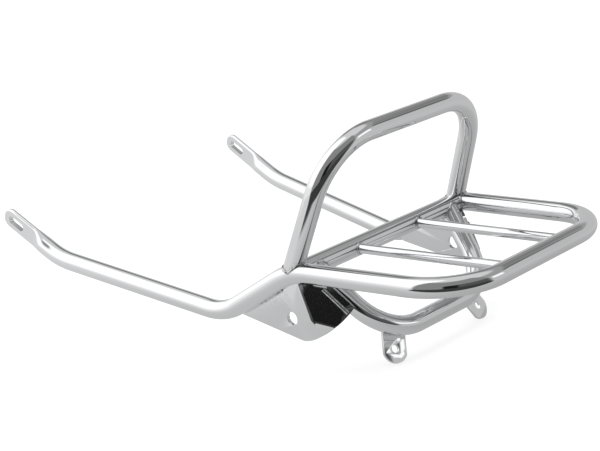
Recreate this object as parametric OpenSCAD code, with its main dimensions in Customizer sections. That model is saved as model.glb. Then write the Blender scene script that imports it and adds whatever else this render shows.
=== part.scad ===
// Chromed steel luggage rack for a motorcycle, a welded tube fabrication.
// One bent tube makes both stays and the platform loop. A hoop stands on it,
// a smaller loop hangs under it, and two bent plates carry the bolt holes.
// Millimetres. X runs rearward, Y to the right side, Z up.
// The origin is on the line through the two gusset bolt holes, midway between
// the sides. Sizes below are measured from the front corners of the platform.

/* [Platform] */
// Outside diameter of every bent tube
tube_od = 20; // [16:0.5:25]
// Wall thickness of the tubes
tube_wall = 2; // [1.2:0.1:3]
// Width between arm centres at the front of the platform
front_w = 260; // [200:1:320]
// Width between arm centres at the rear bar
rear_w = 246; // [180:1:320]
// Length from the hoop feet to the centre of the rear bar
rack_len = 200; // [150:1:260]
// Bend radius of the two rear corners, to the tube centre
corner_r = 62; // [40:1:80]
// Distance of the front cross tube behind the hoop feet
cross_back = 7; // [4:1:12]

/* [Slats] */
// Diameter of the two solid slats
slat_d = 10; // [7:0.5:13]
// Distance of a slat inside the arm centre, at the cross tube
slat_front_in = 83; // [60:1:100]
// Distance of a slat inside the arm centre, at the rear bar
slat_rear_in = 79; // [72:1:95]

/* [Hoop] */
// Height of the hoop top centre line above the platform
hoop_h = 126; // [90:1:180]
// Rearward lean of the hoop at its top
hoop_lean = 56; // [0:1:80]
// Distance of the hoop corners inside the feet, before bending
hoop_top_in = 15; // [0:1:40]
// Bend radius of the hoop corners
hoop_r = 64; // [45:1:75]

/* [Stays] */
// Run from the platform forward to the low bend
low_bend_x = 94; // [70:1:120]
// Drop from the platform to the low bend
low_bend_z = 52; // [35:1:60]
// Distance of the low bend outside the arm
low_bend_out = 11; // [2:0.5:20]
// Run from the platform forward to the front bend
front_bend_x = 316; // [260:1:380]
// Drop from the platform to the front bend
front_bend_z = 8; // [0:1:30]
// Distance of the front bend outside the arm
front_bend_out = 41; // [20:1:60]
// Run from the platform forward to the tip of the stay
tip_x = 398; // [350:1:460]
// Rise from the platform to the tip of the stay
tip_z = 38; // [15:1:60]
// Distance of the tip outside the arm
tip_out = 46; // [25:1:70]
// Length of the pressed flat end
flat_len = 48; // [36:1:60]
// Width of the pressed flat end
flat_w = 23; // [18:0.5:26]
// Thickness of the pressed flat end
flat_t = 6; // [4.2:0.1:8]
// Length of the slot in the flat end
slot_len = 24; // [14:1:28]
// Width of the slot in the flat end
slot_w = 9; // [6.5:0.5:11]
// Distance from the tip to the middle of the slot
slot_back = 21; // [18:0.5:26]

/* [Lower loop] */
// Distance of the lower rear bar behind the hoop feet
low_x = 71; // [55:1:95]
// Drop of the lower rear bar below the platform
low_z = 74; // [55:1:90]
// Distance of the lower corners inside the arm, before bending
low_in = 48; // [30:1:60]
// Distance of the tops of the loop legs inside the arm
low_top_in = 23; // [16:1:35]
// Bend radius of the lower corners
low_r = 60; // [40:1:66]

/* [Gusset plates] */
// Thickness of the gusset plates
plate_t = 4; // [2.5:0.5:6]
// Diameter of the bolt hole in a gusset plate
bolt_d = 14; // [8:0.5:18]
// Distance of the bolt hole ahead of the hoop feet
bolt_x = 7.5; // [0:0.5:20]
// Drop of the bolt hole below the platform
bolt_z = 49; // [40:0.5:55]
// Inward bend of the rear wing of the plate
wing_deg = 45; // [30:1:60]
// Distance of the middle of the fold behind the hoop feet
fold_x = 12; // [8:0.5:16]
// Drop of the middle of the fold below the platform
fold_z = 31; // [28:0.5:36]
// Tilt of the fold from upright
fold_deg = 17.6; // [10:0.1:25]
// Length of the cheek ahead of the fold
cheek_len = 96; // [80:1:100]
// Radius of the rounded foot of the cheek
foot_r = 29; // [26:0.5:32]
// Distance of the centre of that foot ahead of the fold
foot_in = 8; // [4:0.5:12]
// Drop of the centre of that foot below the middle of the fold
foot_down = 8.6; // [5:0.2:12]
// Length of the wing behind the fold
wing_len = 44; // [40:0.5:48]
// Radius of the lower edge of the wing
wing_r = 87; // [60:1:140]

/* [Tabs] */
// Width of a tab
tab_w = 27; // [20:0.5:30]
// Thickness of a tab
tab_t = 3; // [2:0.5:5]
// Diameter of the hole in a tab
tab_hole_d = 8.5; // [5:0.5:11]
// Distance from the line where a tab touches its tube to its hole
tab_drop = 21.5; // [16:0.5:30]
// Radius of the round end of a tab about its hole
tab_end_r = 14.6; // [10:0.1:18]
// Turn round the lower corner from the bar to the middle of a tab
tab_at = 25; // [0:1:40]
// Turn of a tab about the tube, from the plane of the bend
tab_roll = 18; // [0:1:45]

/* [Welds] */
// Size of the weld beads
bead = 2.2; // [1.5:0.1:3]
// Gap left for the weld under a fitted end
root_gap = 0.3; // [0.1:0.1:0.6]

/* [Hidden] */
ro = tube_od / 2;
ri = ro - tube_wall;
sr = slat_d / 2;
eps = 0.01;
$fn = 48;
steel = [0.80, 0.81, 0.83];
// named corners of the left side, before bending
J = [0, -front_w / 2, 0];
C = [rack_len, -rear_w / 2, 0];
P1 = [-low_bend_x, -front_w / 2 - low_bend_out, -low_bend_z];
P2 = [-front_bend_x, -front_w / 2 - front_bend_out, -front_bend_z];
P3 = [-tip_x, -front_w / 2 - tip_out, tip_z];
HT = [hoop_lean, -front_w / 2 + hoop_top_in, hoop_h];
LT = [cross_back, -front_w / 2 + low_top_in, 0];
LC = [low_x, -front_w / 2 + low_in, -low_z];
SF = [cross_back, -front_w / 2 + slat_front_in, 0];
SR = [rack_len, -rear_w / 2 + slat_rear_in, 0];
join_r = 80;
low_bend_r = 60;
front_bend_r = 100;
press_len = 20;
// the fold of the gusset plate, from inside the arm down to the foot
crease = [fold_x, -front_w / 2, -fold_z];
fold_up = fold_z / cos(fold_deg) - 0.15 * ro;
fold_low = foot_down + sqrt(foot_r * foot_r - foot_in * foot_in);
// depth a fitted piece bites into the piece it is welded to
bite = 0.3;
// a bend is a hair larger than the straight lengths and laps over their ends
hair = 0.1;
lap = 1;

function unit(v) = v / norm(v);
function flip(v) = [v[0], -v[1], v[2]];
function turn(a, b) = acos(min(1, max(-1, a * b)));
// any unit vector square to v, level where it can be
function level(v) = abs(v[2]) > 0.999 ? [1, 0, 0] : unit(cross([0, 0, 1], v));
function frame_of(x, y, z, o) = [
    [x[0], y[0], z[0], o[0]],
    [x[1], y[1], z[1], o[1]],
    [x[2], y[2], z[2], o[2]],
    [0, 0, 0, 1]];
// tangent length of the bend at corner b
function tl(a, b, c, r) = r * tan(turn(unit(b - a), unit(c - b)) / 2);

// straight length of round bar or tube from a to b
module straight(a, b, r, hole = 0) {
    z = unit(b - a);
    x = level(z);
    multmatrix(frame_of(x, cross(z, x), z, a))
        difference() {
            cylinder(r = r, h = norm(b - a));
            if (hole > 0)
                translate([0, 0, -1]) cylinder(r = hole, h = norm(b - a) + 2);
        }
}

// bent length round corner b between directions a-b and b-c
module elbow(a, b, c, bend, r, hole = 0) {
    d0 = unit(b - a);
    d1 = unit(c - b);
    n = unit(cross(d0, d1));
    m = cross(n, d0);
    s = b - d0 * tl(a, b, c, bend);
    over = lap / bend * 180 / PI;
    multmatrix(frame_of(-m, d0, n, s + bend * m))
        rotate([0, 0, -over])
            rotate_extrude(angle = turn(d0, d1) + 2 * over, $fn = 72)
                translate([bend, 0])
                    difference() {
                        circle(r = r + hair);
                        if (hole > 0) circle(r = hole + hair);
                    }
}

// whole rack moved so that the bolt line is at the origin
module placed() { translate([bolt_x, 0, bolt_z]) children(); }
// right side copy
module right() { mirror([0, 1, 0]) children(); }
module both() { children(); right() children(); }

// left half pieces of the main tube, with radius and hole given
module arm_piece(r, hole = 0) {
    a = J + unit(C - J) * tl(P1, J, C, join_r);
    b = C - unit(C - J) * tl(J, C, flip(C), corner_r);
    straight(a, b, r, hole);
}
module join_piece(r, hole = 0) elbow(P1, J, C, join_r, r, hole);
module rise_piece(r, hole = 0) {
    a = P1 + unit(J - P1) * tl(P2, P1, J, low_bend_r);
    b = J - unit(J - P1) * tl(P1, J, C, join_r);
    straight(a, b, r, hole);
}
module low_bend_piece(r, hole = 0) elbow(P2, P1, J, low_bend_r, r, hole);
module corner_piece(r, hole = 0) elbow(J, C, flip(C), corner_r, r, hole);
module rear_bar(r, hole = 0) {
    t = tl(J, C, flip(C), corner_r);
    straight(C + [0, t, 0], flip(C) - [0, t, 0], r, hole);
}
module stay_piece(r, hole = 0) {
    a = P2 + unit(P1 - P2) * tl(P3, P2, P1, front_bend_r);
    b = P1 - unit(P1 - P2) * tl(P2, P1, J, low_bend_r);
    straight(a, b, r, hole);
}
module front_bend_piece(r, hole = 0) elbow(P3, P2, P1, front_bend_r, r, hole);

// frame at the tip: Z runs back along the stay, Y across the flat
tip_z_dir = unit(P2 - P3);
tip_x_dir = unit(cross([0, 0, 1], tip_z_dir));
module at_tip() {
    multmatrix(frame_of(-tip_x_dir, cross(tip_z_dir, -tip_x_dir), tip_z_dir, P3))
        children();
}
// outline of the pressed section, w wide and t thick
module pressed(w, t, fine = 48) {
    square([t, w - t], center = true);
    for (s = [-1, 1]) translate([0, s * (w - t) / 2]) circle(d = t, $fn = fine);
}
// slot through the flat end, open on both faces
module tip_slot() {
    e = (slot_len - slot_w) / 2;
    translate([0, 0, slot_back]) rotate([0, 90, 0]) {
        for (s = [-1, 1]) translate([s * e, 0, 0])
            cylinder(d = slot_w, h = tube_od, center = true);
        cube([2 * e, slot_w, tube_od], center = true);
    }
}
// flat end with its slot, then the pressed change back to round tube
module tip_piece() {
    tip_len = norm(P2 - P3) - tl(P3, P2, P1, front_bend_r);
    at_tip() {
        difference() {
            intersection() {
                linear_extrude(flat_len) pressed(flat_w, flat_t);
                union() {
                    translate([0, 0, flat_w / 2]) rotate([0, 90, 0])
                        cylinder(d = flat_w, h = tube_od, center = true);
                    translate([-ro, -flat_w, flat_w / 2])
                        cube([tube_od, 2 * flat_w, flat_len]);
                }
            }
            tip_slot();
        }
        // the change from flat to round is solid where the walls are pressed
        hull() {
            translate([0, 0, flat_len - 1]) linear_extrude(1)
                pressed(flat_w + 0.2, flat_t + 0.2, 24);
            translate([0, 0, flat_len + press_len])
                cylinder(r = ro - 0.1, h = 1, $fn = 32);
        }
        translate([0, 0, flat_len + press_len]) difference() {
            cylinder(r = ro, h = tip_len - flat_len - press_len);
            translate([0, 0, tube_wall])
                cylinder(r = ri, h = tip_len - flat_len - press_len);
        }
    }
}

// stays, platform arms and rear bar in one bent tube
module main_tube() placed() {
    color(steel) {
        both() {
            arm_piece(ro, ri);
            join_piece(ro, ri);
            rise_piece(ro, ri);
            low_bend_piece(ro, ri);
            corner_piece(ro, ri);
            stay_piece(ro, ri);
            front_bend_piece(ro, ri);
            tip_piece();
        }
        rear_bar(ro, ri);
    }
}

// solid shape of the main tube near the front corner, for fitted ends
module corner_solid(r) {
    arm_piece(r);
    join_piece(r);
    rise_piece(r);
}

// front cross tube, its ends fitted to the arms
module cross_axis(r, hole = 0)
    straight([cross_back, -front_w / 2, 0], [cross_back, front_w / 2, 0], r, hole);
module cross_tube() placed() {
    color(steel) difference() {
        cross_axis(ro, ri);
        both() corner_solid(ro + root_gap);
    }
}

// one slat, front end on the cross tube and rear end on the rear bar
module slat_axis(r) straight(SF, SR, r);
module slat() {
    color(steel) difference() {
        slat_axis(sr);
        cross_axis(ro + root_gap);
        rear_bar(ro + root_gap);
    }
}
module slat_left() { placed() slat(); }
module slat_right() { placed() right() slat(); }

// hoop legs, corners and top
module hoop_leg(r, hole = 0)
    straight(J, HT - unit(HT - J) * tl(J, HT, flip(HT), hoop_r), r, hole);
module grab_hoop() placed() {
    t = tl(J, HT, flip(HT), hoop_r);
    color(steel) {
        both() {
            difference() {
                hoop_leg(ro, ri);
                corner_solid(ro + root_gap);
                cross_axis(ro + root_gap);
            }
            elbow(J, HT, flip(HT), hoop_r, ro, ri);
        }
        straight(HT + [0, t, 0], flip(HT) - [0, t, 0], ro, ri);
    }
}

// lower loop: two legs, two corners and the bar that carries the tabs
module loop_leg(r, hole = 0)
    straight(LT, LC - unit(LC - LT) * tl(LT, LC, flip(LC), low_r), r, hole);
module loop_corner(r, hole = 0) elbow(LT, LC, flip(LC), low_r, r, hole);
module loop_bar(r, hole = 0) {
    t = tl(LT, LC, flip(LC), low_r);
    straight(LC + [0, t, 0], flip(LC) - [0, t, 0], r, hole);
}
module lower_loop() placed() {
    color(steel) {
        both() {
            difference() {
                loop_leg(ro, ri);
                cross_axis(ro + root_gap);
                corner_solid(ro + root_gap);
            }
            loop_corner(ro, ri);
        }
        loop_bar(ro, ri);
    }
}

// gusset plate: a flat cheek in the plane of the tube and a wing bent inward
module at_crease() {
    translate(crease) rotate([0, -fold_deg, 0]) children();
}
// the lower edge of the cheek touches the round foot
module cheek_outline() {
    foot = [-foot_in, -foot_down];
    tip = cheek_len * [-0.97, 0.057];
    run = foot - tip;
    a = atan2(run[1], run[0]) - asin(foot_r / norm(run));
    touch = tip + sqrt(run * run - foot_r * foot_r) * [cos(a), sin(a)];
    difference() {
        union() {
            translate(foot) circle(r = foot_r, $fn = 64);
            polygon([cheek_len * [-1, 0.115], tip, touch, foot,
                     [0, -foot_down], [0, fold_up], cheek_len * [-0.94, 0.146]]);
        }
        translate([0, -2 * foot_r]) square([2 * foot_r, 4 * foot_r]);
    }
}
// the wing ends on the loop leg, and its lower edge is one sweep
module wing_outline() {
    intersection() {
        polygon([[-eps, 0.9 * fold_up], [0.11 * wing_len, 0.84 * fold_up],
                 wing_len * [0.545, 0.34], wing_len * [0.93, -0.34],
                 wing_len * [1.03, -0.56], [wing_len, -2 * fold_low],
                 [-eps, -2 * fold_low]]);
        translate([-foot_in, sqrt(wing_r * wing_r - foot_in * foot_in) - fold_low])
            circle(r = wing_r, $fn = 180);
    }
}
module cheek(t) {
    at_crease() rotate([90, 0, 0]) linear_extrude(t, center = true)
        cheek_outline();
}
module wing(t) {
    at_crease() rotate([0, 0, wing_deg]) rotate([90, 0, 0])
        linear_extrude(t, center = true) wing_outline();
}
module fold(t) {
    // round outer edge of the crease
    at_crease() translate([0, 0, -fold_low + 2 * hair])
        cylinder(d = t + 2 * hair, h = fold_low + 0.9 * fold_up);
}
module bolt_bore(h) {
    translate([-bolt_x, -front_w / 2, -bolt_z]) rotate([90, 0, 0])
        cylinder(d = bolt_d, h = h, center = true, $fn = 48);
}
module gusset_plate(t) {
    cheek(t);
    fold(t);
    wing(t);
}
module gusset() {
    color(steel) difference() {
        gusset_plate(plate_t);
        corner_solid(ro + root_gap);
        low_bend_piece(ro + root_gap);
        loop_leg(ro + root_gap);
        cross_axis(ro + root_gap);
        bolt_bore(4 * plate_t);
    }
}
module gusset_left() { placed() gusset(); }
module gusset_right() { placed() right() gusset(); }

// tab frame: the tab lies flat against the side of the lower corner, X runs
// along the tube, Y away from the tube and Z up the tab
lc_dir = unit(LC - LT);
lc_out = unit([lc_dir[0], 0, lc_dir[2]]);
lc_mid = LC + [0, low_r * tan(turn(lc_dir, [0, 1, 0]) / 2), 0] - low_r * lc_out;
tab_rad = cos(tab_at) * lc_out - sin(tab_at) * [0, 1, 0];
tab_x = sin(tab_at) * lc_out + cos(tab_at) * [0, 1, 0];
tab_dir = cos(tab_roll) * tab_rad + sin(tab_roll) * cross(tab_x, tab_rad);
tab_y = cross(tab_x, tab_dir);
tab_gap = ro + tab_t / 2 - bite;
module at_tab() {
    multmatrix(frame_of(tab_x, tab_y, -tab_dir,
                        lc_mid + low_r * tab_rad + tab_gap * tab_y))
        children();
}
module tab_plate() {
    rotate([90, 0, 0]) linear_extrude(tab_t, center = true) difference() {
        intersection() {
            union() {
                translate([-tab_w / 2, -tab_drop]) square([tab_w, tab_drop + ro / 2]);
                translate([0, -tab_drop]) circle(r = tab_end_r, $fn = 64);
            }
            translate([-tab_w / 2, -2 * tab_drop]) square([tab_w, 3 * tab_drop]);
        }
        translate([0, -tab_drop]) circle(d = tab_hole_d, $fn = 40);
    }
}
module tab() {
    color(steel) difference() {
        at_tab() tab_plate();
        loop_corner(ro);
    }
}
module tab_left() { placed() tab(); }
module tab_right() { placed() right() tab(); }

// weld beads, each the small ring where two grown shapes meet
module weld_hoop() {
    color(steel) difference() {
        intersection() {
            straight(J + unit(HT - J) * 2, J + unit(HT - J) * 30, ro + bead);
            corner_solid(ro + bead);
        }
        hoop_leg(ro);
        corner_solid(ro);
        cross_axis(ro);
    }
}
module weld_hoop_left() { placed() weld_hoop(); }
module weld_hoop_right() { placed() right() weld_hoop(); }
module weld_cross() {
    color(steel) difference() {
        intersection() {
            straight([cross_back, -front_w / 2 + 4, 0],
                     [cross_back, -front_w / 2 + 30, 0], ro + bead);
            corner_solid(ro + bead);
        }
        cross_axis(ro);
        corner_solid(ro);
        straight(J, J + unit(HT - J) * 40, ro + bead + 0.2);
        loop_leg(ro);
        gusset_plate(plate_t);
    }
}
module weld_cross_left() { placed() weld_cross(); }
module weld_cross_right() { placed() right() weld_cross(); }
module weld_slat_front() {
    color(steel) difference() {
        intersection() {
            straight(SF, SF + unit(SR - SF) * tube_od, sr + bead * 0.8);
            cross_axis(ro + bead * 0.8);
        }
        slat_axis(sr);
        cross_axis(ro);
    }
}
module weld_slat_front_left() { placed() weld_slat_front(); }
module weld_slat_front_right() { placed() right() weld_slat_front(); }
module weld_slat_rear() {
    color(steel) difference() {
        intersection() {
            straight(SR - unit(SR - SF) * tube_od, SR, sr + bead * 0.8);
            rear_bar(ro + bead * 0.8);
        }
        slat_axis(sr);
        rear_bar(ro);
    }
}
module weld_slat_rear_left() { placed() weld_slat_rear(); }
module weld_slat_rear_right() { placed() right() weld_slat_rear(); }
module weld_loop() {
    color(steel) difference() {
        intersection() {
            straight(LT + unit(LC - LT) * 2, LT + unit(LC - LT) * 30, ro + bead);
            cross_axis(ro + bead);
        }
        loop_leg(ro);
        cross_axis(ro);
        corner_solid(ro + bead + 0.2);
        wing(plate_t + 2 * bead);
    }
}
module weld_loop_left() { placed() weld_loop(); }
module weld_loop_right() { placed() right() weld_loop(); }
// point on the under side of the rising stay, on the outer face of the cheek,
// s along the stay from its top corner
stay_dir = unit(P1 - J);
stay_under = unit([0, 0, -1] + stay_dir[2] * stay_dir);
function seam(s) =
    let (a = J + stay_dir * s, dy = -front_w / 2 - plate_t / 2 - a[1])
    a + [0, dy, 0] + stay_under * sqrt(max(1, ro * ro - dy * dy));
module weld_gusset() {
    color(steel) difference() {
        straight(seam(tl(P1, J, C, join_r) + 2), seam(norm(P1 - J) * 0.6), bead);
        cheek(plate_t);
        rise_piece(ro);
    }
}
module weld_gusset_left() { placed() weld_gusset(); }
module weld_gusset_right() { placed() right() weld_gusset(); }
// the rod of weld between the wing and the loop leg lies on the leg's surface,
// on the rear face of the wing
leg_dir = unit(LC - LT);
wing_n = [sin(wing_deg) * cos(fold_deg), -cos(wing_deg),
          sin(wing_deg) * sin(fold_deg)];
wing_a = [cos(wing_deg) * cos(fold_deg), sin(wing_deg),
          cos(wing_deg) * sin(fold_deg)];
leg_side = unit(wing_a - (wing_a * leg_dir) * leg_dir);
function leg_seam(s) =
    let (a = LT + leg_dir * s - leg_side * ro,
         gap = (a - crease) * wing_n)
    a + wing_n * (plate_t / 2 - gap);
module weld_wing() {
    color(steel) difference() {
        straight(leg_seam(22), leg_seam(56), bead);
        wing(plate_t);
        loop_leg(ro);
    }
}
module weld_wing_left() { placed() weld_wing(); }
module weld_wing_right() { placed() right() weld_wing(); }
module weld_tab() {
    color(steel) difference() {
        intersection() {
            at_tab() translate([-tab_w / 2 + 1, -tab_t / 2 - bead, -ro])
                cube([tab_w - 2, bead + 1, ro - sqrt(2 * ro * bite)]);
            loop_corner(ro + bead);
        }
        at_tab() translate([-tab_w, -tab_t / 2, -3 * ro])
            cube([2 * tab_w, tab_t, 4 * ro]);
        loop_corner(ro);
    }
}
module weld_tab_left() { placed() weld_tab(); }
module weld_tab_right() { placed() right() weld_tab(); }

main_tube();
cross_tube();
slat_left();
slat_right();
grab_hoop();
lower_loop();
gusset_left();
gusset_right();
tab_left();
tab_right();
weld_hoop_left();
weld_hoop_right();
weld_cross_left();
weld_cross_right();
weld_slat_front_left();
weld_slat_front_right();
weld_slat_rear_left();
weld_slat_rear_right();
weld_loop_left();
weld_loop_right();
weld_gusset_left();
weld_gusset_right();
weld_wing_left();
weld_wing_right();
weld_tab_left();
weld_tab_right();
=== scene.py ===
"""Chromed tube luggage rack of a motorcycle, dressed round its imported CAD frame."""

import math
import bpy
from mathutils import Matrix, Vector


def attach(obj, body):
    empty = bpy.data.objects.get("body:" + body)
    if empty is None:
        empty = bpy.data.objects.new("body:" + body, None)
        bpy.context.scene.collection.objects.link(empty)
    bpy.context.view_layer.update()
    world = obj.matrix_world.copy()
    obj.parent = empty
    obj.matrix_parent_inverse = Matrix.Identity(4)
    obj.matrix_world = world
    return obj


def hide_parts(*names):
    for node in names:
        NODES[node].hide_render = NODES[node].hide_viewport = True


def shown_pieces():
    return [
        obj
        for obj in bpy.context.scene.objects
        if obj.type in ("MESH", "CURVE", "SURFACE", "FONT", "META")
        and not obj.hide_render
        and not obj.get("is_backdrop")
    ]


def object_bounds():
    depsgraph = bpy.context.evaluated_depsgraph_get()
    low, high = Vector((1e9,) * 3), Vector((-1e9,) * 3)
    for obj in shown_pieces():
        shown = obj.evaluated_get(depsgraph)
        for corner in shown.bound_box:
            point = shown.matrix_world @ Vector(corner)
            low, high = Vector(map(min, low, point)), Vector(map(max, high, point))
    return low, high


bl_info = {
    "name": "Motorcycle luggage rack",
    "version": (1, 0, 0),
    "blender": (4, 5, 0),
    "location": "View3D > Sidebar > Rack",
    "description": "Chromed tube rack with a grab hoop, lower loop and slotted stays",
    "category": "Object",
}

import bmesh
import bpy
from mathutils import Matrix, Vector, kdtree

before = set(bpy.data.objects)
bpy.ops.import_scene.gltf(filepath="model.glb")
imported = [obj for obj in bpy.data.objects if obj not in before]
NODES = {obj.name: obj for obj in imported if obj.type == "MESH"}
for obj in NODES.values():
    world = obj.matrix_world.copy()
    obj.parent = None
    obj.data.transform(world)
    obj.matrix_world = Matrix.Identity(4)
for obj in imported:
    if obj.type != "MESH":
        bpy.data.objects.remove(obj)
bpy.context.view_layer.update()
SIDES = ("left", "right")


def length(name, value, about):
    """A size in metres that the panel shows as a length."""
    return bpy.props.FloatProperty(name=name, description=about, default=value,
                                   min=0.0, subtype="DISTANCE", unit="LENGTH")


def angle(name, degrees, about):
    """A turn that the panel shows in degrees."""
    return bpy.props.FloatProperty(name=name, description=about,
                                   default=math.radians(degrees), subtype="ANGLE",
                                   unit="ROTATION")


def spot(name, value, about):
    """A point in metres from the platform's front corner."""
    return bpy.props.FloatVectorProperty(name=name, description=about, default=value,
                                         size=3, subtype="XYZ", unit="LENGTH")


def share(name, value, about):
    """A number from 0 to 1."""
    return bpy.props.FloatProperty(name=name, description=about, default=value,
                                   min=0.0, max=1.0, subtype="FACTOR")


def tint(name, value, about):
    """A linear colour."""
    return bpy.props.FloatVectorProperty(name=name, description=about, default=value,
                                         size=3, min=0.0, max=4.0, subtype="COLOR")


class RackSizes(bpy.types.PropertyGroup):
    """Sizes of the rack, the same as in its CAD source, and of its fine detail"""
    tube_d: length("Tube", 0.020, "Outer diameter of the tubes")
    slat_d: length("Slat", 0.010, "Diameter of the two slats")
    front_w: length("Front width", 0.260, "Between the arms' centre lines in front")
    rear_w: length("Rear width", 0.246, "Between the arms' centre lines at the rear")
    rack_len: length("Platform", 0.200, "From the front joint to the rear bar")
    corner_r: length("Corner radius", 0.062, "Bend radius of the rear corners")
    join_r: length("Joint radius", 0.080, "Bend radius where the arms become stays")
    cross_back: length("Cross tube", 0.007, "Cross tube behind the front joint")
    slat_front_in: length("Slat front", 0.083, "Slat inside the arm at the front")
    slat_rear_in: length("Slat rear", 0.079, "Slat inside the arm at the rear")
    hoop_h: length("Hoop height", 0.126, "Height of the hoop's top")
    hoop_lean: length("Hoop lean", 0.056, "How far the hoop's top lies to the rear")
    hoop_top_in: length("Hoop taper", 0.015, "How far the top is inside the arms")
    hoop_r: length("Hoop radius", 0.064, "Bend radius of the hoop's corners")
    low_bend: spot("Low bend", (0.094, 0.011, 0.052), "Forward, outward and down")
    low_bend_r: length("Low bend radius", 0.060, "Bend radius of the low bend")
    front_bend: spot("Front bend", (0.316, 0.041, 0.008), "Forward, outward and down")
    front_bend_r: length("Front bend radius", 0.100, "Bend radius of the front bend")
    tip: spot("Tip", (0.398, 0.046, 0.038), "Stay's tip: forward, outward and up")
    flat_len: length("Flat length", 0.048, "Length of the pressed flat")
    flat_w: length("Flat width", 0.023, "Width of the pressed flat")
    flat_t: length("Flat thickness", 0.006, "Thickness of the pressed flat")
    press_len: length("Press length", 0.020, "Length of the change to round tube")
    slot_len: length("Slot length", 0.024, "Length of the slot in the flat")
    slot_w: length("Slot width", 0.009, "Width of the slot in the flat")
    slot_back: length("Slot place", 0.021, "Slot's centre from the tip")
    low_x: length("Loop back", 0.071, "Lower loop's bar behind the front joint")
    low_z: length("Loop drop", 0.074, "Lower loop's bar below the platform")
    low_in: length("Loop inset", 0.048, "Lower loop's bar corners inside the arms")
    low_top_in: length("Loop top inset", 0.023, "Lower loop's legs inside the arms")
    low_r: length("Loop radius", 0.060, "Bend radius of the lower loop")
    bolt_x: length("Bolt forward", 0.0075, "Bolt hole ahead of the front joint")
    bolt_z: length("Bolt drop", 0.049, "Bolt hole below the platform")
    plate_t: length("Plate", 0.004, "Thickness of the gusset plates")
    fold_x: length("Fold place", 0.012, "Gusset's fold behind the front joint")
    fold_z: length("Fold drop", 0.031, "Middle of the gusset's fold below the platform")
    fold_lean: angle("Fold lean", 17.6, "How far the gusset's fold leans forward")
    wing_turn: angle("Wing turn", 45, "Turn of the gusset's wing from its cheek")
    foot_curl: share("Foot curl", 0.2952, "Inward shift for each metre below the curl")
    tab_at: angle("Tab place", 25, "Turn of the tab round the loop's corner")
    tab_roll: angle("Tab roll", 18, "Turn of the tab round the tube")
    tab_w: length("Tab width", 0.027, "Width of the tabs")
    bead: length("Weld bead", 0.0022, "Radius of the weld beads")
    ring: length("Ring spacing", 0.003, "Distance between the rings of a tube")
    edge: length("Plate edge", 0.0005, "Rounding of the plates' edges")


class RackLooks(bpy.types.PropertyGroup):
    """Colours and finish of the rack and its stage"""
    chrome: tint("Chrome", (0.88, 0.885, 0.895), "Colour of the chrome plating")
    gloss: share("Roughness", 0.035, "Roughness of the plating on tubes and rods")
    plate_gloss: share("Plate roughness", 0.055, "Roughness of the plating on plates")
    weld_gloss: share("Weld roughness", 0.10, "Roughness of the plating on the welds")
    weld_dark: share("Weld marks", 0.45, "How dark the welds' own marks are")
    haze: share("Haze", 0.06, "Extra roughness in the hazy patches")
    weld: tint("Weld", (0.74, 0.745, 0.75), "Colour of the plating on the welds")
    reach: length("Weld reach", 0.007, "How far weld marks spread from a seam")
    floor: tint("Floor", (1.0, 1.0, 1.0), "Tint of the floor in the chrome")


def corner_points(s):
    """Corners of the left side before bending, in metres, in the CAD's frame."""
    half, rear = s.front_w / 2, s.rear_w / 2
    low, front, tip = s.low_bend, s.front_bend, s.tip
    points = {
        "join": (0, -half, 0),
        "corner": (s.rack_len, -rear, 0),
        "low_bend": (-low[0], -half - low[1], -low[2]),
        "front_bend": (-front[0], -half - front[1], -front[2]),
        "tip": (-tip[0], -half - tip[1], tip[2]),
        "hoop_top": (s.hoop_lean, -half + s.hoop_top_in, s.hoop_h),
        "fold": (s.fold_x, -half, -s.fold_z),
        "cross": (s.cross_back, -half, 0),
        "loop_top": (s.cross_back, -half + s.low_top_in, 0),
        "loop_low": (s.low_x, -half + s.low_in, -s.low_z),
        "slat_front": (s.cross_back, -half + s.slat_front_in, 0),
        "slat_rear": (s.rack_len, -rear + s.slat_rear_in, 0),
    }
    move = Vector((s.bolt_x, 0, s.bolt_z))
    return {name: Vector(p) + move for name, p in points.items()}


def flip(p):
    """The same point on the right side."""
    return Vector((p[0], -p[1], p[2]))


def mirrored(left):
    """Points of the left side, followed by their mirror images on the right."""
    return left + [flip(p) for p in reversed(left)]


def bent_path(corners, radii, step):
    """Points along straight lengths that are joined by round bends."""
    path, start = [], corners[0]
    for a, b, c, radius in zip(corners, corners[1:], corners[2:], radii):
        before, after = (b - a).normalized(), (c - b).normalized()
        angle = before.angle(after)
        entry = b - before * radius * math.tan(angle / 2)
        side = (after - before * before.dot(after)).normalized()
        count = max(2, math.ceil(radius * angle / step))
        path += straight_path(start, entry, step)
        for k in range(count):
            turn = angle * k / count
            path.append(entry + radius * (math.sin(turn) * before
                                          + (1 - math.cos(turn)) * side))
        start = b + after * radius * math.tan(angle / 2)
    return path + straight_path(start, corners[-1], step) + [corners[-1]]


def straight_path(a, b, step):
    """Points from a towards b, without b."""
    count = max(1, round((b - a).length / step))
    return [a.lerp(b, k / count) for k in range(count)]


def main_path(s):
    """Centre line of the stays, arms and rear bar."""
    p = corner_points(s)
    left = [p[n] for n in ("tip", "front_bend", "low_bend", "join", "corner")]
    radii = [s.front_bend_r, s.low_bend_r, s.join_r, s.corner_r]
    return bent_path(mirrored(left), radii + radii[::-1], s.ring)


# distances from a rounded tip to its close rings, and to the first ring of the rest,
# and the least half width of a tip
TIP_RINGS = (0.0002, 0.0006, 0.0012, 0.002, 0.003, 0.0042, 0.0056, 0.0072, 0.009, 0.011)
TIP_REACH, TIP_LEAST = 0.012, 0.0003


def tip_ends(path):
    """Adds the close rings of the rounded tips at both ends of the main path."""
    along = (path[1] - path[0]).normalized()
    left = [path[0]] + [path[0] + along * d for d in TIP_RINGS]
    rest = [p for p in path if TIP_REACH < (p - path[0]).length
            and TIP_REACH < (p - path[-1]).length]
    return left + rest + [flip(p) for p in reversed(left)]


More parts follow.
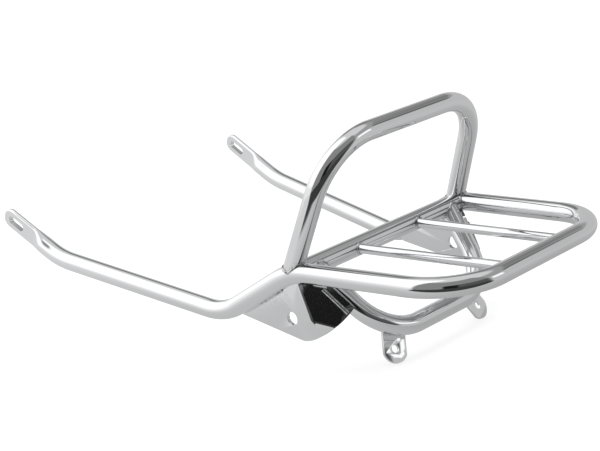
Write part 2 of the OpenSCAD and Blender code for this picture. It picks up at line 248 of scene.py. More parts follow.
def link(obj):
    """Puts an object in the scene."""
    bpy.context.scene.collection.objects.link(obj)
    return obj


def wire(name, chain, closed):
    """A mesh of edges along a chain of points, for a tree to sweep."""
    edges = [(k, k + 1) for k in range(len(chain) - 1)]
    if closed:
        edges.append((len(chain) - 1, 0))
    mesh = bpy.data.meshes.new(name)
    mesh.from_pydata(chain, edges, [])
    return link(bpy.data.objects.new(name, mesh))


class Tree:
    """Builds a node tree a line at a time."""

    def __init__(self, tree):
        self.tree = tree

    def node(self, kind, settings=None, **inputs):
        """Adds a node; inputs are keyed by socket name or by position as _0, _1."""
        node = self.tree.nodes.new(kind)
        for key, value in (settings or {}).items():
            setattr(node, key, value)
        for key, value in inputs.items():
            by_place = key[0] == "_" and key[1:].isdigit()
            socket = node.inputs[int(key[1:]) if by_place else key.replace("_", " ")]
            self.feed(value, socket)
        return node

    def feed(self, value, socket):
        """Links a socket, or sets a plain value."""
        if isinstance(value, bpy.types.NodeSocket):
            self.tree.links.new(value, socket)
        else:
            socket.default_value = value

    def math(self, operation, a, b=None, c=None, clamp=False):
        """Adds one Math node and returns its result."""
        given = {f"_{k}": v for k, v in enumerate((a, b, c)) if v is not None}
        settings = {"operation": operation, "use_clamp": clamp}
        return self.node("ShaderNodeMath", settings, **given).outputs[0]

    def vector(self, operation, a, b=None, scale=None):
        """Adds one Vector Math node and returns its first result."""
        node = self.node("ShaderNodeVectorMath", {"operation": operation}, _0=a)
        if b is not None:
            self.feed(b, node.inputs[1])
        if scale is not None:
            self.feed(scale, node.inputs["Scale"])
        return node.outputs["Value" if operation in ("DOT_PRODUCT", "LENGTH") else 0]

    def ramp(self, value, low, high):
        """A smooth change from 0 at low to 1 at high."""
        node = self.node("ShaderNodeMapRange", {"interpolation_type": "SMOOTHSTEP"},
                         Value=value, From_Min=low, From_Max=high)
        return node.outputs[0]

    def blend(self, share, a, b):
        """A number that goes from a to b with the share."""
        node = self.node("ShaderNodeMix", {"data_type": "FLOAT"}, _0=share, _2=a, _3=b)
        return node.outputs[0]

    def shaders(self, share, a, b):
        """A shader that goes from a to b with the share."""
        return self.node("ShaderNodeMixShader", _0=share, _1=a, _2=b).outputs[0]

    def capture(self, geometry, value, kind):
        """Keeps a field on the geometry; returns the geometry and what was kept."""
        node = self.node("GeometryNodeCaptureAttribute", Geometry=geometry)
        node.capture_items.new(kind, "Kept")
        self.feed(value, node.inputs[1])
        return node.outputs[0], node.outputs[1]


def geometry_tree(name, sockets):
    """A geometry tree with its named inputs; returns its builder and input node."""
    tree = bpy.data.node_groups.new(name, "GeometryNodeTree")
    tree.interface.new_socket("Geometry", in_out="OUTPUT",
                              socket_type="NodeSocketGeometry")
    tree.interface.new_socket("Geometry", in_out="INPUT",
                              socket_type="NodeSocketGeometry")
    for label, kind, default in sockets:
        item = tree.interface.new_socket(label, in_out="INPUT", socket_type=kind)
        if default is not None:
            item.default_value = default
    build = Tree(tree)
    return build, build.node("NodeGroupInput")


def finish_tree(build, shape, material):
    """Ends a geometry tree in Realize Instances and Set Material."""
    smooth = build.node("GeometryNodeSetShadeSmooth", Geometry=shape)
    real = build.node("GeometryNodeRealizeInstances", Geometry=smooth.outputs[0])
    dressed = build.node("GeometryNodeSetMaterial", Geometry=real.outputs[0],
                         Material=material)
    out = build.node("NodeGroupOutput")
    build.feed(dressed.outputs[0], out.inputs[0])
    return build.tree


# how quickly the ring's points leave the middle of a pressed face
FACE_SPREAD = 3.0


def tube_tree():
    """A bent tube along each chain of edges, with ends that may be pressed flat."""
    b, given = geometry_tree("Bent tube", [
        ("Radius", "NodeSocketFloat", 0.01), ("Sides", "NodeSocketInt", 64),
        ("Pressed Ends", "NodeSocketBool", False),
        ("Flat Width", "NodeSocketFloat", 0.023),
        ("Flat Thickness", "NodeSocketFloat", 0.006),
        ("Flat Length", "NodeSocketFloat", 0.048),
        ("Press Length", "NodeSocketFloat", 0.02),
        ("Material", "NodeSocketMaterial", None)])
    g = given.outputs
    line = b.node("GeometryNodeMeshToCurve", Mesh=g["Geometry"])
    # distance from the nearer end of the tube
    spline = b.node("GeometryNodeSplineParameter")
    whole = b.node("GeometryNodeSplineLength")
    other = b.math("SUBTRACT", whole.outputs["Length"], spline.outputs["Length"])
    near = b.math("MINIMUM", spline.outputs["Length"], other)
    tangent = b.node("GeometryNodeInputTangent").outputs[0]
    position = b.node("GeometryNodeInputPosition").outputs[0]
    rail, end = b.capture(line.outputs[0], near, "FLOAT")
    rail, along = b.capture(rail, tangent, "VECTOR")
    rail, centre = b.capture(rail, position, "VECTOR")
    circle = b.node("GeometryNodeCurvePrimitiveCircle", Resolution=g["Sides"],
                    Radius=1.0)
    ring, on_ring = b.capture(circle.outputs[0], position, "VECTOR")
    shape = b.node("GeometryNodeCurveToMesh", Curve=rail, Profile_Curve=ring,
                   Fill_Caps=True)
    # half width and half height of the section, round or pressed
    press = b.math("DIVIDE", b.math("SUBTRACT", end, g["Flat Length"]),
                   g["Press Length"])
    pressed = b.math("MULTIPLY", g["Pressed Ends"],
                     b.math("SUBTRACT", 1.0, b.ramp(press, 0.0, 1.0)))
    halves = []
    for size in ("Flat Width", "Flat Thickness"):
        # the tip is rounded: sqrt(1 - (1 - d / r)^2), and never quite closed
        half = b.math("MULTIPLY", g[size], 0.5)
        rest = b.math("SUBTRACT", 1.0, b.math("DIVIDE", end, half), clamp=True)
        round_off = b.math("SQRT", b.math("SUBTRACT", 1.0, b.math("POWER", rest, 2.0)))
        left = b.math("MAXIMUM", b.math("MULTIPLY", half, round_off), TIP_LEAST)
        gap = b.math("SUBTRACT", left, g["Radius"])
        halves.append(b.math("MULTIPLY_ADD", gap, pressed, g["Radius"]))
    wide, high = halves
    # a flat oval: a straight run in the middle and half rounds at its edges
    unit = b.node("ShaderNodeSeparateXYZ", Vector=on_ring)
    straight = b.math("MAXIMUM", b.math("SUBTRACT", wide, high), 0.0)
    spread = b.math("MULTIPLY", unit.outputs[0], FACE_SPREAD)
    spread = b.math("MAXIMUM", b.math("MINIMUM", spread, 1.0), -1.0)
    turned = b.math("MULTIPLY", b.math("SUBTRACT", wide, straight), unit.outputs[0])
    x = b.math("MULTIPLY_ADD", straight, spread, turned)
    y = b.math("MULTIPLY", high, unit.outputs[1])
    side = b.vector("NORMALIZE", b.vector("CROSS_PRODUCT", (0, 0, 1), along))
    up = b.vector("CROSS_PRODUCT", along, side)
    # the flat stands upright: its width along up, its thickness across
    offset = b.vector("SUBTRACT", b.vector("SCALE", up, scale=x),
                      b.vector("SCALE", side, scale=y))
    moved = b.node("GeometryNodeSetPosition", Geometry=shape.outputs[0],
                   Position=b.vector("ADD", centre, offset))
    return finish_tree(b, moved.outputs[0], g["Material"])


# spacing of the bead's rings, their sides, and the scale of its uneven width
BEAD_STEP, BEAD_SIDES, BEAD_NOISE = 0.0005, 12, 260.0


def bead_tree():
    """Rippled weld beads along each chain of edges."""
    b, given = geometry_tree("Weld bead", [
        ("Radius", "NodeSocketFloat", 0.0022), ("Pitch", "NodeSocketFloat", 0.0022),
        ("Ripple", "NodeSocketFloat", 0.12), ("Wander", "NodeSocketFloat", 0.16),
        ("Seed", "NodeSocketInt", 7), ("Material", "NodeSocketMaterial", None)])
    g = given.outputs
    line = b.node("GeometryNodeMeshToCurve", Mesh=g["Geometry"])
    fine = b.node("GeometryNodeResampleCurve", {"mode": "LENGTH"},
                  Curve=line.outputs[0], Length=BEAD_STEP)
    run = b.node("GeometryNodeSplineParameter").outputs["Length"]
    wave = b.math("SINE", b.math("MULTIPLY", b.math("DIVIDE", run, g["Pitch"]),
                                 math.tau))
    noise = b.node("ShaderNodeTexNoise", {"noise_dimensions": "4D"}, W=g["Seed"],
                   Scale=BEAD_NOISE, Detail=1.0)
    uneven = b.math("MULTIPLY", b.math("SUBTRACT", noise.outputs[0], 0.5), g["Wander"])
    size = b.math("MULTIPLY_ADD", wave, g["Ripple"], 1.0)
    size = b.math("MULTIPLY_ADD", uneven, 2.0, size)
    sized = b.node("GeometryNodeSetCurveRadius", Curve=fine.outputs[0], Radius=size)
    circle = b.node("GeometryNodeCurvePrimitiveCircle", Resolution=BEAD_SIDES,
                    Radius=g["Radius"])
    shape = b.node("GeometryNodeCurveToMesh", Curve=sized.outputs[0],
                   Profile_Curve=circle.outputs[0], Fill_Caps=True)
    return finish_tree(b, shape.outputs[0], g["Material"])


def modifier_input(modifier, label, value):
    """Sets a tree's input by its socket's identifier."""
    for item in modifier.node_group.interface.items_tree:
        if item.item_type == "SOCKET" and item.in_out == "INPUT" and item.name == label:
            modifier[item.identifier] = value
            return
    raise RuntimeError(f"the tree has no input {label}")


def baked(name, holder):
    """A plain mesh object of what a holder's modifiers make; the holder goes."""
    graph = bpy.context.evaluated_depsgraph_get()
    mesh = bpy.data.meshes.new_from_object(
        holder.evaluated_get(graph), preserve_all_data_layers=True, depsgraph=graph)
    bpy.data.objects.remove(holder)
    mesh.name = name
    piece = link(bpy.data.objects.new(name, mesh))
    tidy_mesh(mesh)
    if not mesh.polygons:
        raise RuntimeError(f"{name} came out empty")
    return piece


# the angle of an edge that stays sharp, and in metres how near points merge, how thin a
# face is dropped, and how near the points of an open seam merge, in two goes
SHARP = math.radians(32)
MERGE, SLIVER = 1e-6, 1e-7
SEAM_MERGES = (5e-6, 2e-5)


def tidy_mesh(mesh):
    """Merges doubles, turns the faces outward and marks the sharp edges."""
    bm = bmesh.new()
    bm.from_mesh(mesh)
    bmesh.ops.remove_doubles(bm, verts=bm.verts, dist=MERGE)
    bmesh.ops.dissolve_degenerate(bm, edges=bm.edges, dist=SLIVER)
    for reach in SEAM_MERGES:
        close_seams(bm, reach)
    bmesh.ops.recalc_face_normals(bm, faces=bm.faces)
    if bm.calc_volume(signed=True) < 0:
        bmesh.ops.reverse_faces(bm, faces=bm.faces)
    bm.to_mesh(mesh)
    bm.free()
    mesh.shade_smooth()
    mesh.set_sharp_from_angle(angle=SHARP)


def close_seams(bm, reach):
    """Merges points within reach, only where an edge hasn't got two faces."""
    odd = [v.co.copy() for v in {v for e in bm.edges if len(e.link_faces) != 2
                                 for v in e.verts}]
    if odd:
        near = [v for v in bm.verts if any((v.co - c).length < 3 * reach for c in odd)]
        bmesh.ops.remove_doubles(bm, verts=near, dist=reach)
        bmesh.ops.dissolve_degenerate(bm, edges=bm.edges, dist=SLIVER)


def swept(name, tree, chain, closed, **values):
    """A piece that a tree sweeps along a chain of points."""
    holder = wire(name, chain, closed)
    modifier = holder.modifiers.new("Sweep", "NODES")
    modifier.node_group = tree
    modifier_input(modifier, "Material", bpy.data.materials["rack_chrome"])
    for label, value in values.items():
        modifier_input(modifier, label.replace("_", " "), value)
    return baked(name, holder)


def ready(piece, *nodes):
    """Rides a finished piece on the rack in the place of its CAD nodes."""
    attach(piece, "root")
    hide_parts(*nodes)


def coat(piece, material):
    """Gives a piece one material."""
    piece.data.materials.clear()
    piece.data.materials.append(bpy.data.materials[material])


def shared_tree(name, make):
    """A node tree that is built once."""
    return bpy.data.node_groups.get(name) or make()


# seams, where a fitted tube or rod meets the skin of another tube: how far the search
# starts before the tube's end, how far it goes, its halvings, the points of a ring, and
# the least distance from the end
SEAM_BACK, SEAM_REACH, SEAM_HALVINGS = -0.004, 0.04, 22
SEAM_POINTS, SEAM_LEAST = 48, 0.0015


def distance_to(path, p):
    """Distance from a point to a chain of points."""
    best = 1e9
    for a, b in zip(path, path[1:]):
        run = b - a
        t = min(1.0, max(0.0, (p - a).dot(run) / run.length_squared))
        best = min(best, (a + run * t - p).length)
    return best


def ring_seam(start, along, radius, path, other):
    """Points where a tube from start meets the tube round path, as a closed ring."""
    along = along.normalized()
    u = along.orthogonal().normalized()
    v = along.cross(u)
    ring = []
    for k in range(SEAM_POINTS):
        turn = math.tau * k / SEAM_POINTS
        skin = start + radius * (math.cos(turn) * u + math.sin(turn) * v)
        low, high = SEAM_BACK, SEAM_REACH
        for _ in range(SEAM_HALVINGS):
            mid = (low + high) / 2
            if distance_to(path, skin + along * mid) > other:
                high = mid
            else:
                low = mid
        ring.append(skin + along * max(high, SEAM_LEAST))
    return ring


def seam_lines(s):
    """Closed rings and open lines of weld on the left side."""
    p = corner_points(s)
    ro, sr = s.tube_d / 2, s.slat_d / 2
    near = [q for q in main_path(s)
            if (q - p["join"]).length < 3 * s.tube_d and q[1] < 0]
    cross = [p["cross"], flip(p["cross"])]
    rear = [p["corner"], flip(p["corner"])]
    rings = [
        ring_seam(p["join"], p["hoop_top"] - p["join"], ro, near, ro),
        ring_seam(p["cross"], Vector((0, 1, 0)), ro, near, ro),
        ring_seam(p["loop_top"], p["loop_low"] - p["loop_top"], ro, cross, ro),
        ring_seam(p["slat_front"], p["slat_rear"] - p["slat_front"], sr, cross, ro),
        ring_seam(p["slat_rear"], p["slat_front"] - p["slat_rear"], sr, rear, ro),
    ]
    return rings, [stay_seam(s, p), leg_seam(s, p), tab_seam(s, p)]


# where the open beads start along the stay and the leg, and their lengths
STAY_SEAM, LEG_SEAM = (0.024, 0.040), (0.022, 0.034)


def along_seam(start, run, seam, count=8):
    """Even points of an open bead along a tube's centre line."""
    return [start + run * (seam[0] + seam[1] * k / count) for k in range(count + 1)]


def stay_seam(s, p):
    """Weld between the gusset's cheek and the under side of the rising stay."""
    run = (p["low_bend"] - p["join"]).normalized()
    under = (Vector((0, 0, -1)) + run * run[2]).normalized()
    face = -s.front_w / 2 - s.plate_t / 2
    line = []
    for a in along_seam(p["join"], run, STAY_SEAM):
        dy = face - a[1]
        line.append(a + Vector((0, dy, 0))
                    + under * math.sqrt(max(1e-6, (s.tube_d / 2) ** 2 - dy * dy)))
    return line


def wing_frame(s):
    """Normal of the gusset's wing and its direction away from the fold."""
    fold, wing = s.fold_lean, s.wing_turn
    normal = Vector((math.sin(wing) * math.cos(fold), -math.cos(wing),
                     math.sin(wing) * math.sin(fold)))
    away = Vector((math.cos(wing) * math.cos(fold), math.sin(wing),
                   math.cos(wing) * math.sin(fold)))
    return normal, away


def leg_seam(s, p):
    """Weld between the gusset's wing and the lower loop's leg."""
    normal, away = wing_frame(s)
    leg = (p["loop_low"] - p["loop_top"]).normalized()
    side = (away - leg * away.dot(leg)).normalized()
    line = []
    for centre in along_seam(p["loop_top"], leg, LEG_SEAM):
        a = centre - side * s.tube_d / 2
        line.append(a + normal * (s.plate_t / 2 - (a - p["fold"]).dot(normal)))
    return line


# the tab's bead: what it leaves free of the tab's width, and its place on the tube's
# skin as shares of the tube's radius, out of the tab's face and down along it
TAB_SEAM_FREE, TAB_SEAM_OUT, TAB_SEAM_DOWN = 0.004, 0.86, 0.52


def tab_seam(s, p):
    """Weld between a tab and the lower loop's corner, beside the tab's upper face."""
    ro = s.tube_d / 2
    leg = (p["loop_low"] - p["loop_top"]).normalized()
    out = Vector((leg[0], 0, leg[2])).normalized()
    turn = math.acos(min(1.0, leg[1]))
    mid = (p["loop_low"] + Vector((0, s.low_r * math.tan(turn / 2), 0))
           - s.low_r * out)
    across = Vector((0, 1, 0))
    wide = (s.tab_w - TAB_SEAM_FREE) / (s.low_r + ro)
    line = []
    for k in range(13):
        at = s.tab_at + (k / 12 - 0.5) * wide
        radial = math.cos(at) * out - math.sin(at) * across
        axis = math.sin(at) * out + math.cos(at) * across
        lower = (math.cos(s.tab_roll) * radial
                 + math.sin(s.tab_roll) * axis.cross(radial))
        face = axis.cross(lower)
        line.append(mid + s.low_r * radial + TAB_SEAM_OUT * ro * face
                    + TAB_SEAM_DOWN * ro * lower)
    return line


class RACK_OT_materials(bpy.types.Operator):
    """Makes the plating and weld materials from their shared groups"""
    bl_idname = "rack.materials"
    bl_label = "Materials"

    def execute(self, context):
        looks = context.scene.rack_looks
        plating("rack_chrome", looks, looks.chrome, looks.gloss, 0.0)
        plating("rack_plate", looks, looks.chrome, looks.plate_gloss, 0.0)
        plating("rack_weld", looks, looks.weld, looks.weld_gloss, looks.weld_dark)
        return {"FINISHED"}


# scales of the fine grain, of the clouds in the weld marks, and the haze's changes: the
# noise where a hazy patch starts and is full, the grain's share of the roughness, and
# how much darker a patch is
GRAIN_SCALE, CLOUD_SCALE = 420.0, 260.0
PATCH, GRAIN_ROUGH, PATCH_SHADE = (0.45, 0.75), 0.03, -0.03


def haze_group():
    """Uneven plating: colour, roughness and height that change over the surface."""
    tree = bpy.data.node_groups.new("plate_haze", "ShaderNodeTree")
    for label, kind, default in (
            ("Colour", "NodeSocketColor", (0.88, 0.88, 0.9, 1.0)),
            ("Roughness", "NodeSocketFloat", 0.04), ("Haze", "NodeSocketFloat", 0.06),
            ("Patch Size", "NodeSocketFloat", 9.0)):
        tree.interface.new_socket(label, in_out="INPUT",
                                  socket_type=kind).default_value = default
    for label, kind in (("Colour", "NodeSocketColor"), ("Roughness", "NodeSocketFloat"),
                        ("Height", "NodeSocketFloat")):
        tree.interface.new_socket(label, in_out="OUTPUT", socket_type=kind)
    b = Tree(tree)
    g = b.node("NodeGroupInput").outputs
    place = b.node("ShaderNodeTexCoord").outputs["Object"]
    patch = b.node("ShaderNodeTexNoise", Vector=place, Scale=g["Patch Size"],
                   Detail=3.0).outputs[0]
    fine = b.node("ShaderNodeTexNoise", Vector=place, Scale=GRAIN_SCALE,
                  Detail=4.0).outputs[0]
    soft = b.ramp(patch, *PATCH)
    rough = b.math("MULTIPLY_ADD", soft, g["Haze"], g["Roughness"])
    rough = b.math("MULTIPLY_ADD", b.math("SUBTRACT", fine, 0.5), GRAIN_ROUGH, rough)
    shade = b.math("MULTIPLY_ADD", soft, PATCH_SHADE, 1.0)
    colour = b.vector("SCALE", g["Colour"], scale=shade)
    out = b.node("NodeGroupOutput")
    b.feed(colour, out.inputs[0])
    b.feed(b.math("MAXIMUM", rough, 0.01), out.inputs[1])
    b.feed(fine, out.inputs[2])
    return tree


# where each kind of weld mark starts and is full: broken stains by nearness and cloud,
# specks by their own size and by nearness, marks on the bead by cloud
STAIN, BEAD_MARK = (0.72, 1.05), (0.35, 0.65)
SPECK_EDGE, SPECK_NEAR = (0.12, 0.3), (0.15, 0.8)
MARK_ROUGH = 0.22


def weld_group():
    """Weld marks: a broken mask near the seams, with spatter specks."""
    tree = bpy.data.node_groups.new("weld_marks", "ShaderNodeTree")
    for label, default in (("Near", 0.0), ("Speck Size", 700.0), ("Solid", 0.0)):
        tree.interface.new_socket(label, in_out="INPUT",
                                  socket_type="NodeSocketFloat").default_value = default
    for label in ("Dark", "Rough", "Height"):
        tree.interface.new_socket(label, in_out="OUTPUT",
                                  socket_type="NodeSocketFloat")
    b = Tree(tree)
    g = b.node("NodeGroupInput").outputs
    place = b.node("ShaderNodeTexCoord").outputs["Object"]
    cloud = b.node("ShaderNodeTexNoise", Vector=place, Scale=CLOUD_SCALE,
                   Detail=4.0).outputs[0]
    specks = b.node("ShaderNodeTexVoronoi", Vector=place,
                    Scale=g["Speck Size"]).outputs["Distance"]
    broken = b.ramp(b.math("ADD", g["Near"], b.math("SUBTRACT", cloud, 0.5)), *STAIN)
    speck = b.math("MULTIPLY", b.math("SUBTRACT", 1.0, b.ramp(specks, *SPECK_EDGE)),
                   b.ramp(g["Near"], *SPECK_NEAR))
    solid = b.math("MULTIPLY", g["Solid"], b.ramp(cloud, *BEAD_MARK))
    dark = b.math("MAXIMUM", b.math("MAXIMUM", broken, speck), solid, clamp=True)
    out = b.node("NodeGroupOutput")
    b.feed(dark, out.inputs[0])
    b.feed(b.math("MULTIPLY", dark, MARK_ROUGH), out.inputs[1])
    b.feed(b.math("MULTIPLY", cloud, b.math("MAXIMUM", g["Near"], g["Solid"])),
           out.inputs[2])
    return tree


MARK_COLOUR = (0.05, 0.05, 0.052, 1.0)
# shares of the weld marks and the grain in the height, and the bump's full height
MARK_HEIGHT, GRAIN_HEIGHT, BUMP = 0.6, 0.02, 0.0004


def plating(name, looks, colour, rough, solid):
    """One chrome material of both groups; solid is how dark the welds' marks are."""
    material = bpy.data.materials.new(name)
    material.use_nodes = True
    tree = material.node_tree
    tree.nodes.clear()
    b = Tree(tree)
    haze = b.node("ShaderNodeGroup",
                  {"node_tree": shared_tree("plate_haze", haze_group)},
                  Colour=(*colour, 1.0), Roughness=rough, Haze=looks.haze)
    near = b.node("ShaderNodeAttribute", {"attribute_name": "weld_near"})
    marks = b.node("ShaderNodeGroup",
                   {"node_tree": shared_tree("weld_marks", weld_group)},
                   Near=near.outputs["Fac"], Solid=solid)
    tinted = b.node("ShaderNodeMix", {"data_type": "RGBA"}, _0=marks.outputs["Dark"],
                    _6=haze.outputs["Colour"], _7=MARK_COLOUR)
    roughness = b.math("ADD", haze.outputs["Roughness"], marks.outputs["Rough"])
    height = b.math("MULTIPLY_ADD", marks.outputs["Height"], MARK_HEIGHT,
                    b.math("MULTIPLY", haze.outputs["Height"], GRAIN_HEIGHT))
    bump = b.node("ShaderNodeBump", Strength=0.5, Distance=BUMP, Height=height)
    shader = b.node("ShaderNodeBsdfPrincipled", Metallic=1.0,
                    Base_Color=tinted.outputs[2], Roughness=roughness,
                    Normal=bump.outputs[0])
    out = b.node("ShaderNodeOutputMaterial")
    b.feed(shader.outputs[0], out.inputs[0])
    return material


def tube_piece(name, path, diameter, **more):
    """Sweeps the bent tube tree along one path."""
    tree = shared_tree("Bent tube", tube_tree)
    return swept(name, tree, path, False, Radius=diameter / 2, **more)


class RACK_OT_main_tube(bpy.types.Operator):
    """Sweeps the main tube with its pressed tips and cuts their slots"""
    bl_idname = "rack.main_tube"
    bl_label = "Main tube"

    def execute(self, context):
        s = context.scene.rack_sizes
        path = tip_ends(main_path(s))
        piece = tube_piece("bent_main_tube", path, s.tube_d, Pressed_Ends=True,
                           Flat_Width=s.flat_w, Flat_Thickness=s.flat_t,
                           Flat_Length=s.flat_len, Press_Length=s.press_len)
        for a, b in ((path[0], path[2]), (path[-1], path[-3])):
            piece = cut_slot(s, piece, a, (b - a).normalized())
        ready(piece, "main_tube")
        return {"FINISHED"}


SLOT_SIDES = 32


def cut_slot(s, piece, tip, along):
    """Cuts the bolt slot through one pressed tip."""
    side = Vector((0, 0, 1)).cross(along).normalized()
    up = along.cross(side)
    half = (s.slot_len - s.slot_w) / 2
    outline = []
    for k in range(SLOT_SIDES):
        turn = math.tau * (k + 0.5) / SLOT_SIDES
        x = math.cos(turn) * s.slot_w / 2 + math.copysign(half, math.cos(turn))
        outline.append((x, math.sin(turn) * s.slot_w / 2))
    verts = [tip + along * (s.slot_back + x) + up * y - side * z
             for z in (-s.tube_d, s.tube_d) for x, y in outline]
    count = SLOT_SIDES
    faces = [[k, (k + 1) % count, count + (k + 1) % count, count + k]
             for k in range(count)]
    faces += [list(range(count))[::-1], list(range(count, 2 * count))]
    mesh = bpy.data.meshes.new("slot_cutter")
    mesh.from_pydata(verts, [], faces)
    tidy_mesh(mesh)
    cutter = link(bpy.data.objects.new("slot_cutter", mesh))
    cut = piece.modifiers.new("Slot", "BOOLEAN")
    cut.operation, cut.solver, cut.object = "DIFFERENCE", "EXACT", cutter
    name = piece.name
    before = len(piece.data.polygons)
    piece.name = name + "_whole"
    result = baked(name, piece)
    bpy.data.objects.remove(cutter)
    if len(result.data.polygons) <= before:
        raise RuntimeError("the slot was not cut")
    return result


SLAT_SIDES = 40


class RACK_OT_platform(bpy.types.Operator):
    """Sweeps the cross tube and the two slats of the platform"""
    bl_idname = "rack.platform"
    bl_label = "Cross tube and slats"

    def execute(self, context):
        s = context.scene.rack_sizes
        p = corner_points(s)
        # the cross tube ends inside the arms
        end = p["cross"] + Vector((0, s.tube_d / 5, 0))
        cross = straight_path(end, flip(end), s.ring) + [flip(end)]
        ready(tube_piece("bent_cross_tube", cross, s.tube_d), "cross_tube")
        slat = straight_path(p["slat_front"], p["slat_rear"], s.ring)
        slat += [p["slat_rear"]]
        for side, path in zip(SIDES, (slat, [flip(q) for q in slat])):
            piece = tube_piece(f"rod_slat_{side}", path, s.slat_d, Sides=SLAT_SIDES)
            ready(piece, f"slat_{side}")
        return {"FINISHED"}


# where hoop and loop start along their legs, inside the tube that carries them
HOOP_START, LOOP_START = 0.015, 0.02


class RACK_OT_hoop(bpy.types.Operator):
    """Sweeps the grab hoop"""
    bl_idname = "rack.hoop"
    bl_label = "Grab hoop"

    def execute(self, context):
        s = context.scene.rack_sizes
        p = corner_points(s)
        foot = p["join"].lerp(p["hoop_top"], HOOP_START)
        path = bent_path(mirrored([foot, p["hoop_top"]]), [s.hoop_r] * 2, s.ring)
        ready(tube_piece("bent_grab_hoop", path, s.tube_d), "grab_hoop")
        return {"FINISHED"}


class RACK_OT_loop(bpy.types.Operator):
    """Sweeps the lower loop"""
    bl_idname = "rack.loop"
    bl_label = "Lower loop"

    def execute(self, context):
        s = context.scene.rack_sizes
        p = corner_points(s)
        root = p["loop_top"].lerp(p["loop_low"], LOOP_START)
        path = bent_path(mirrored([root, p["loop_low"]]), [s.low_r] * 2, s.ring)
        ready(tube_piece("bent_lower_loop", path, s.tube_d), "lower_loop")
        return {"FINISHED"}


# edges that turn by more than this are rounded
BEVELLED = math.radians(40)


class RACK_OT_plates(bpy.types.Operator):
    """Rounds the edges of the gusset plates and tabs, from the CAD's own shapes"""
    bl_idname = "rack.plates"
    bl_label = "Gussets and tabs"

    def execute(self, context):
        s = context.scene.rack_sizes
        for part in ("gusset", "tab"):
            for side in SIDES:
                node = f"{part}_{side}"
                holder = merged_copy(NODES[node], f"{part}_plate_{side}_flat")
                if part == "gusset":
                    curl_foot(s, holder.data, 1 if side == "left" else -1)
                bevel = holder.modifiers.new("Edge", "BEVEL")
                bevel.width, bevel.segments = s.edge, 2
                bevel.limit_method, bevel.angle_limit = "ANGLE", BEVELLED
                piece = baked(f"{part}_plate_{side}", holder)
                coat(piece, "rack_plate")
                ready(piece, node)
        return {"FINISHED"}


# faces that turn by less than this are one flat
FLAT = math.radians(0.5)


def merged_copy(node, name):
    """A copy of a CAD node with its triangles merged and its flats made one face."""
    mesh = node.data.copy()
    bm = bmesh.new()
    bm.from_mesh(mesh)
    bmesh.ops.remove_doubles(bm, verts=bm.verts, dist=2 * MERGE)
    bmesh.ops.dissolve_limit(bm, angle_limit=FLAT, verts=bm.verts, edges=bm.edges)
    bm.to_mesh(mesh)
    bm.free()
    return link(bpy.data.objects.new(name, mesh))


# the curl of a gusset's foot, in metres from the middle of the fold: its start below
# it, how much later it starts for each metre along the wing, the run over which it
# eases in, and how far forward of the fold it dies out
CURL_START, CURL_SLOPE, CURL_EASE, CURL_AHEAD = 0.017, 0.70, 0.005, 0.017
# cuts that give the foot points to bend: first, spacing and count, down along the fold,
# back along the wing and forward along the cheek
CURL_CUTS = ((0.0145, 0.0015, 16), (0.003, 0.0016, 15), (0.0025, 0.0028, 6))
# faces that end above this depth are left uncut, and a point this near to the wing's
# faces is on the wing
CURL_TOP, WING_SLACK = 0.013, 0.0007


def curl_foot(s, mesh, hand):
    """Curls the lower edge of a gusset's wing inward; hand is 1 on the left, else -1."""
    origin = corner_points(s)["fold"]
    normal, away = wing_frame(s)
    level = Vector((math.cos(s.fold_lean), 0, math.sin(s.fold_lean)))
    up = Vector((-math.sin(s.fold_lean), 0, math.cos(s.fold_lean)))
    if hand < 0:
        origin, normal, away = flip(origin), flip(normal), flip(away)
    bm = bmesh.new()
    bm.from_mesh(mesh)
    for direction, sign, (first, spacing, count) in zip(
            (up, away, level), (-1, 1, -1), CURL_CUTS):
        for k in range(count):
            faces = [f for f in bm.faces
                     if min((v.co - origin).dot(up) for v in f.verts) < -CURL_TOP]
            geom = faces + [e for f in faces for e in f.edges]
            geom += [v for f in faces for v in f.verts]
            bmesh.ops.bisect_plane(
                bm, geom=list(dict.fromkeys(geom)), dist=MERGE, plane_no=direction,
                plane_co=origin + direction * sign * (first + spacing * k))
    for v in bm.verts:
        q = v.co - origin
        across = q.dot(level)
        on_wing = abs(q.dot(normal)) < s.plate_t / 2 + WING_SLACK
        late = CURL_SLOPE * max(0.0, q.dot(away)) if on_wing else 0.0
        below = -CURL_START - late - q.dot(up)
        if below > 0 and across >= -CURL_AHEAD:
            eased = min(below, CURL_EASE)
            shift = s.foot_curl * (below - eased + eased * eased / 2 / CURL_EASE)
            v.co.y += hand * shift * (1 + min(0.0, across) / CURL_AHEAD)
    bm.to_mesh(mesh)
    bm.free()


# each bead's name, share of the bead's full radius and seed, rings first
BEADS = (("hoop", 0.7, 9), ("cross", 0.7, 10), ("loop", 0.7, 9),
         ("slat_front", 0.7, 15), ("slat_rear", 0.7, 14),
         ("gusset", 0.9, 11), ("wing", 0.9, 9), ("tab", 0.7, 8))


class RACK_OT_welds(bpy.types.Operator):
    """Lays the rippled weld beads along every seam and marks the plating near them"""
    bl_idname = "rack.welds"
    bl_label = "Welds"

    def execute(self, context):
        s = context.scene.rack_sizes
        looks = context.scene.rack_looks
        rings, lines = seam_lines(s)
        tree = shared_tree("Weld bead", bead_tree)
        paths = [(ring, True) for ring in rings] + [(line, False) for line in lines]
        for (name, size, seed), (path, closed) in zip(BEADS, paths):
            for side, chain in zip(SIDES, (path, [flip(q) for q in path])):
                piece = swept(f"bead_{name}_{side}", tree, chain, closed,
                              Radius=s.bead * size, Seed=seed)
                coat(piece, "rack_weld")
                ready(piece, f"weld_{name}_{side}")
        mark_seams([q for path, _ in paths for q in path + [flip(q) for q in path]],
                   looks.reach)
        return {"FINISHED"}


